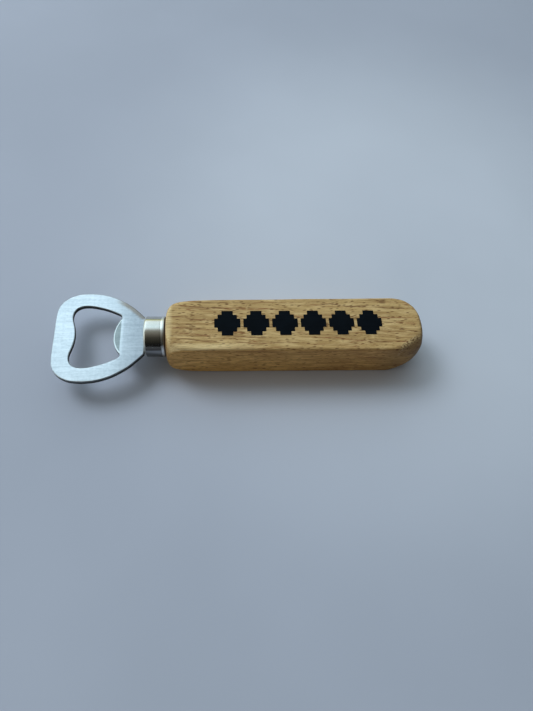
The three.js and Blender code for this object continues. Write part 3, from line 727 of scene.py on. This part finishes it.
def loop_normals(loop):
    """Unit normals, pointing to the left of the loop's direction, with the miter length."""
    n = len(loop)
    out = []
    for i in range(n):
        a, b, c2 = Vector(loop[i - 1]), Vector(loop[i]), Vector(loop[(i + 1) % n])
        d1 = (b - a).normalized()
        d2 = (c2 - b).normalized()
        n1 = Vector((-d1.y, d1.x))
        n2 = Vector((-d2.y, d2.x))
        s2 = n1 + n2
        if s2.length < 1e-6:
            out.append(n1)
            continue
        s2.normalize()
        out.append(s2 / max(s2.dot(n1), 0.5))
    return out


def slab_from_loops(name, loops, z0, z1, radii, material, steps=5):
    """A flat plate with rounded edges. Each loop keeps the metal on its left; the first is the outside."""
    verts, faces, caps_top, caps_bottom = [], [], [], []
    for loop, r in zip(loops, radii):
        nrm = loop_normals(loop)
        rings = []
        prof = []
        for i in range(steps + 1):
            a = math.pi / 2 * i / steps
            prof.append((r * (1 - math.sin(a)), z0 + r * (1 - math.cos(a))))   # bottom edge, from the underside out
        for i in range(steps + 1):
            a = math.pi / 2 * i / steps
            prof.append((r * (1 - math.cos(a)), z1 - r * (1 - math.sin(a))))   # top edge, up to the top face
        for inset, z in prof:
            base = len(verts)
            for (x, y), v in zip(loop, nrm):
                verts.append((x + v.x * inset, y + v.y * inset, z))
            rings.append(list(range(base, base + len(loop))))
        faces += bridge(rings)
        caps_bottom.append(rings[0])
        caps_top.append(rings[-1])
    for caps, flip in ((caps_top, False), (caps_bottom, True)):
        polys = [[Vector(verts[i]) for i in ring] for ring in caps]
        flat = [i for ring in caps for i in ring]
        for tri in geometry.tessellate_polygon(polys):
            t = tuple(flat[i] for i in tri)
            faces.append(t[::-1] if flip else t)
    return mesh_object(name, verts, faces, material)


def build_plate():
    z0, z1 = PLATE_TOP - PLATE_T, PLATE_TOP
    half = [(p.x, p.y) for p in catmull(OUTER, 1.6) if p.y > 0.35]
    half = [(max(x, FAR + 0.002), y) for x, y in half]
    tang = [(NECK, 5.0)] + TANG
    outer_upper = list(reversed(tang)) + half                         # tang end, shoulder, round to the far edge
    outer = outer_upper + [(FAR + 0.002, 0.0)] + [(x, -y) for x, y in reversed(outer_upper)]
    # runs from the tang's end at +y round the far edge to -y: anticlockwise, metal on the left
    hole_half = [(p.x, p.y) for p in catmull(INNER, 2.2) if p.y > 0.2]
    hole = hole_half + [(-66.8, 0.0)] + [(x, -y) for x, y in reversed(hole_half)]
    R = (TONGUE_HALF ** 2 + TONGUE_REACH ** 2) / (2 * TONGUE_REACH)
    ha = math.asin(TONGUE_HALF / R)
    arc = []
    for i in range(37):
        a = -ha + 2 * ha * i / 36
        arc.append((FOLD - TONGUE_REACH + R - R * math.cos(a), R * math.sin(a)))
    hole = hole + arc                                                 # back along the tongue's edge
    hole = hole[::-1]                                                 # clockwise: metal on its left
    obj = slab_from_loops("head", [outer, hole], z0, z1, [0.42, 0.38], steel, steps=6)

    # press the tongue down along its fold line
    me = obj.data
    bm = bmesh.new()
    bm.from_mesh(me)
    for off in (0.35, 0.18, 0.0, -0.18, -0.36, -0.6, -1.0, -1.5, -2.0):
        bmesh.ops.bisect_plane(bm, geom=bm.verts[:] + bm.edges[:] + bm.faces[:], dist=1e-9,
                               plane_co=((FOLD + off) * MM, 0, 0), plane_no=(1, 0, 0))
    slope = TONGUE_DROP / TONGUE_REACH
    for v in bm.verts:
        x, y = v.co.x / MM, v.co.y / MM
        if abs(y) < TONGUE_HALF + 0.45 and FOLD - TONGUE_REACH - 0.2 < x < FOLD + 0.4:
            d = FOLD - x
            k = 0.3                                                   # the bend's half width
            if d <= -k:
                fall = 0.0
            elif d >= k:
                fall = d
            else:
                fall = (d + k) ** 2 / (4 * k)
            v.co.z -= slope * fall * MM
    bmesh.ops.recalc_face_normals(bm, faces=bm.faces)
    uv = bm.loops.layers.uv.new("UVMap")
    for f in bm.faces:
        flat = abs(f.normal.z) > 0.4
        for lp in f.loops:
            co = lp.vert.co / MM
            lp[uv].uv = (co.x / 160.0 + 0.5, (co.y if flat else co.z + co.y) / 160.0 + 0.5)
    bm.to_mesh(me)
    bm.free()
    me.polygons.foreach_set("use_smooth", [True] * len(me.polygons))
    weighted_normals(obj)
    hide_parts("head_plate")
    return obj


plate = build_plate()

# ------------------------------------------------------------------ ferrule
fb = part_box("ferrule")
F_FRONT, F_END = fb[0][0] / MM, fb[1][0] / MM
F_R = (fb[1][1] - fb[0][1]) / 2 / MM


def round_angles(extra, n=144):
    base = [2 * math.pi * i / n for i in range(n)]
    out = list(base)
    for e in extra:
        j = min(range(len(out)), key=lambda i: abs(out[i] - e))
        out[j] = e
    return sorted(out)


def build_ferrule():
    ca = math.atan2(1.3, 5.3)
    ang = round_angles([ca, math.pi - ca, math.pi + ca, 2 * math.pi - ca])
    verts, rings = [], []

    def ring(points):
        base = len(verts)
        verts.extend(points)
        rings.append(list(range(base, base + len(points))))

    def slot(x, grow=0.0):
        pts = []
        for a in ang:
            cy, sz = math.cos(a), math.sin(a)
            r = min((5.3 + grow) / max(abs(cy), 1e-6), (1.3 + grow) / max(abs(sz), 1e-6))
            pts.append((x, r * cy, AXIS + r * sz))
        ring(pts)

    def circle(x, r):
        ring([(x, r * math.cos(a), AXIS + r * math.sin(a)) for a in ang])

    inner = F_R - 0.8
    slot(F_FRONT + 0.8)
    slot(F_FRONT + 0.08)
    slot(F_FRONT, 0.08)
    circle(F_FRONT, 6.4)
    lip = 1.15
    for i in range(0, 13):
        a = math.pi / 2 * i / 12
        circle(F_FRONT + lip * (1 - math.cos(a)), F_R - 0.06 - lip * (1 - math.sin(a)))
    # barrel, a fine line, then the rim rolled in towards the wood
    barrel = F_R - 0.06
    end = F_END + 0.24
    for x, r in ((-38.0, barrel), (-36.0, barrel), (-34.0, barrel), (-33.3, barrel), (-33.16, barrel - 0.005),
                 (-33.06, barrel - 0.03), (-32.96, barrel - 0.035), (-32.86, barrel - 0.01), (-32.74, barrel + 0.012),
                 (-32.52, barrel + 0.04), (-32.28, barrel + 0.055), (-32.02, barrel + 0.05), (-31.82, F_R - 0.06),
                 (-31.66, F_R - 0.10),
                 (-31.5, F_R - 0.16), (-31.38, F_R - 0.27), (-31.3, F_R - 0.39), (end, F_R - 0.55),
                 (end, inner + 0.12),
                 (end - 0.1, inner), (-34.0, inner), (F_FRONT + 1.1, inner), (F_FRONT + 0.86, inner - 0.22),
                 (F_FRONT + 0.8, inner - 0.5), (F_FRONT + 0.8, 6.0)):
        circle(x, r)
    rings.append(rings[0])
    obj = mesh_object("collar", verts, bridge(rings), nickel)
    me = obj.data
    # crisp slot corners, smooth everywhere else
    bm = bmesh.new()
    bm.from_mesh(me)
    for e in bm.edges:
        if len(e.link_faces) == 2 and e.calc_face_angle() > math.radians(50):
            e.smooth = False
    bm.to_mesh(me)
    bm.free()
    weighted_normals(obj)
    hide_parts("ferrule")
    return obj


ferrule = build_ferrule()

# ----------------------------------------------------------- adhesive bead


def build_bead():
    ang = round_angles([], 160)
    verts, rings = [], []
    r0, r1 = TENON_R + 0.06, F_R - 0.8 - 0.06

    def circle(x, r, wob=0.0):
        base = len(verts)
        for i, a in enumerate(ang):
            w = wob * noise.noise(Vector((math.cos(a) * 2.3, math.sin(a) * 2.3, x * 0.4)))
            verts.append((x, (r + w) * math.cos(a), AXIS + (r + w) * math.sin(a)))
        rings.append(list(range(base, base + len(ang))))

    x0, xb, xw = X_TENON + 0.6, F_END + 0.26, X_WOOD - 0.02
    circle(x0, r0)
    circle(x0, r1)
    circle(x0 + 2.0, r1)
    circle(xb - 0.1, r1)
    circle(xb, r1 + 0.04)
    circle(xb, 7.46, 0.05)
    circle(xb + 0.03, 7.54, 0.10)
    circle((xb + xw) / 2, 7.56, 0.12)
    circle(xw - 0.03, 7.54, 0.10)
    circle(xw, 7.46, 0.05)
    circle(xw, r0 + 0.1)
    circle(xw - 0.1, r0)
    rings.append(rings[0])
    obj = mesh_object("glue_bead", verts, bridge(rings), epoxy)
    weighted_normals(obj)
    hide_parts("ferrule_adhesive")
    return obj


bead = build_bead()

# the fill round the tang is sealed in the handle, so its CAD solid stays
inner_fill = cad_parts["tang_adhesive"]
inner_fill.data.materials.clear()
inner_fill.data.materials.append(epoxy)

# -------------------------------------------------------------------- marks


def stepped_loop(w, h):
    a, b = w / 2, h / 2
    q = [(a, 0.36 * b), (0.74 * a, 0.36 * b), (0.74 * a, 0.68 * b), (0.44 * a, 0.68 * b), (0.44 * a, b)]
    left = [(-x, y) for x, y in reversed(q)]
    upper = q + left
    loop = upper + [(-x, -y) for x, y in upper]
    return loop


def rounded(loop, r, n=4):
    """The loop with its corners rounded, still anticlockwise."""
    out = []
    m2 = len(loop)
    for i in range(m2):
        a, b, c2 = Vector(loop[i - 1]), Vector(loop[i]), Vector(loop[(i + 1) % m2])
        d1, d2 = (b - a), (c2 - b)
        rr = min(r, d1.length * 0.45, d2.length * 0.45)
        p, q = b - d1.normalized() * rr, b + d2.normalized() * rr
        for k in range(n + 1):
            t = k / n
            out.append(tuple((p * (1 - t) ** 2 + b * 2 * t * (1 - t) + q * t * t)))
    return out


def build_mark(i):
    node = f"film_mark_{i}"
    lo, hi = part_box(node)
    lo = [v / MM for v in lo]
    hi = [v / MM for v in hi]
    cx, cy = (lo[0] + hi[0]) / 2, (lo[1] + hi[1]) / 2
    loop = rounded(stepped_loop(hi[0] - lo[0], hi[1] - lo[1]), 0.22)
    loop = [(x + cx, y + cy) for x, y in loop]
    obj = slab_from_loops(f"mark_{i}", [loop], lo[2], hi[2], [0.035], film, steps=3)
    weighted_normals(obj)
    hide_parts(node)
    return obj


marks = [build_mark(i) for i in range(1, 7)]

# ------------------------------------------------------------ floor and light


def floor_material():
    g = Graph("floor")
    n = g.noise(g.coords(scale=(9, 9, 9)), detail=3.0)
    col = g.mix(g.ramp(n, 0.3, 0.7), (0.485, 0.510, 0.600), (0.515, 0.540, 0.635))
    # painted pool of light: the floor is lighter near a point behind and right of the opener, and a little darker far
    # away
    away = g.vmath("DISTANCE", g.coords(), (85.0, 60.0, 0.0))
    painted_light_pool = g.ramp(away, 60.0, 190.0)
    col = g.mix(1.0, col, g.mix(painted_light_pool, (1.26, 1.25, 1.21), (0.92, 0.92, 0.93)), "MULTIPLY")
    return g.set(Base_Color=col, Roughness=0.75, Specular_IOR_Level=0.3)


def fill_ramp(node, stops):
    els = node.color_ramp.elements
    node.color_ramp.interpolation = "LINEAR"
    while len(els) > 1:
        els.remove(els[-1])
    els[0].position = stops[0][0]
    els[0].color = (*stops[0][1], 1.0)
    for pos, c3 in stops[1:]:
        e = els.new(pos)
        e.color = (*c3, 1.0)


def build_floor():
    me = bpy.data.meshes.new("floor")
    bm = bmesh.new()
    bmesh.ops.create_grid(bm, x_segments=8, y_segments=8, size=2.5)
    bm.to_mesh(me)
    bm.free()
    me.materials.append(floor_material())
    obj = link(bpy.data.objects.new("floor", me))
    obj.location = (0.0, 0.0, 0.0)
    return obj


build_floor()


def build_world():
    """A soft studio: a broad pale light behind, strongest on the left, under a dark ceiling and front."""
    w = bpy.data.worlds.new("studio")
    bpy.context.scene.world = w
    w.use_nodes = True
    t = w.node_tree
    t.nodes.clear()
    g = Graph.__new__(Graph)
    g.t = t
    out = g.node("ShaderNodeOutputWorld")
    bg = g.node("ShaderNodeBackground")
    g.link(bg.outputs[0], out.inputs[0])
    tc = g.node("ShaderNodeTexCoord")
    sep = g.node("ShaderNodeSeparateXYZ")
    g.link(tc.outputs["Generated"], sep.inputs[0])
    dx, dy, dz = sep.outputs
    # angle from straight up, towards +Y, as 0 at -180 degrees and 1 at +180
    turn = g.math("ADD", g.math("MULTIPLY", g.math("ARCTAN2", dy, dz), 0.5 / math.pi), 0.5)
    arc = g.node("ShaderNodeValToRGB")
    g.link(turn, arc.inputs[0])
    stops = [
        (-180, (0.12, 0.13, 0.14)), (-92, (0.05, 0.05, 0.05)), (-88, (0.010, 0.010, 0.010)),
        (-71, (0.012, 0.012, 0.0115)), (-57, (0.026, 0.0255, 0.021)), (-34, (0.056, 0.054, 0.044)),
        (-17, (0.145, 0.138, 0.118)), (0, (0.26, 0.265, 0.235)), (9, (0.40, 0.43, 0.42)),
        (15, (0.66, 0.76, 0.78)), (21, (0.94, 1.16, 1.25)), (30, (1.06, 1.34, 1.48)),
        (66, (1.10, 1.33, 1.40)), (75, (0.98, 1.08, 0.95)), (80, (0.80, 0.84, 0.52)),
        (86, (0.40, 0.46, 0.25)), (93, (0.30, 0.36, 0.20)), (100, (0.12, 0.13, 0.14)),
    ]
    fill_ramp(arc, [((a + 180.0) / 360.0, c3) for a, c3 in stops])
    across = g.node("ShaderNodeValToRGB")
    g.link(g.math("ADD", g.math("MULTIPLY", dx, 0.5), 0.5), across.inputs[0])
    gains = [(-1.0, 1.25), (-0.88, 1.20), (-0.70, 0.66), (-0.50, 1.35), (-0.30, 1.45), (-0.11, 1.0),
             (0.10, 0.72), (0.40, 0.45), (1.0, 0.35)]
    # a colour ramp holds values up to 1 here, so it is halved and doubled back
    fill_ramp(across, [((x + 1.0) / 2.0, (v / 2, v / 2, v / 2)) for x, v in gains])
    col = g.mix(1.0, arc.outputs[0], across.outputs[0], "MULTIPLY")
    col = g.mix(1.0, col, (2.0, 2.0, 2.0), "MULTIPLY")
    # an opening low on the left, which shows in the rounded front edges of the metal
    low_left = g.math("MULTIPLY", g.ramp(dx, -0.72, -0.90), g.ramp(dz, 0.0, 0.06))
    low_left = g.math("MULTIPLY", low_left, g.ramp(turn, 0.5 + 8 / 360.0, 0.5 - 8 / 360.0))
    col = g.mix(1.0, col, g.mix(low_left, (0.0, 0.0, 0.0), (0.95, 1.0, 0.95)), "ADD")
    lp = g.node("ShaderNodeLightPath")
    col = g.mix(lp.outputs["Is Camera Ray"], col, (0.55, 0.60, 0.66))
    g.link(col, bg.inputs[0])
    bg.inputs[1].default_value = 1.0


build_world()


def area(name, at, to, size, power, color):
    d = bpy.data.lights.new(name, "AREA")
    d.shape = "DISK"
    d.size = size
    d.energy = power
    d.color = color
    o = link(bpy.data.objects.new(name, d))
    o.location = at
    o.rotation_euler = (Vector(to) - Vector(at)).to_track_quat("-Z", "Y").to_euler()
    return o


key = area("soft_key", (-0.55, 0.45, 0.75), (0, 0, 0), 0.45, 3.6, (0.84, 0.93, 1.0))
fill = area("front_fill", (-0.32, -0.80, 0.34), (0.0, 0.0, 0.01), 0.5, 0.66, (1.0, 0.97, 0.90))
for lamp in (key, fill):
    lamp.visible_glossy = False      # the metal shows only the soft surroundings

bpy.context.scene.view_settings.view_transform = "Standard"
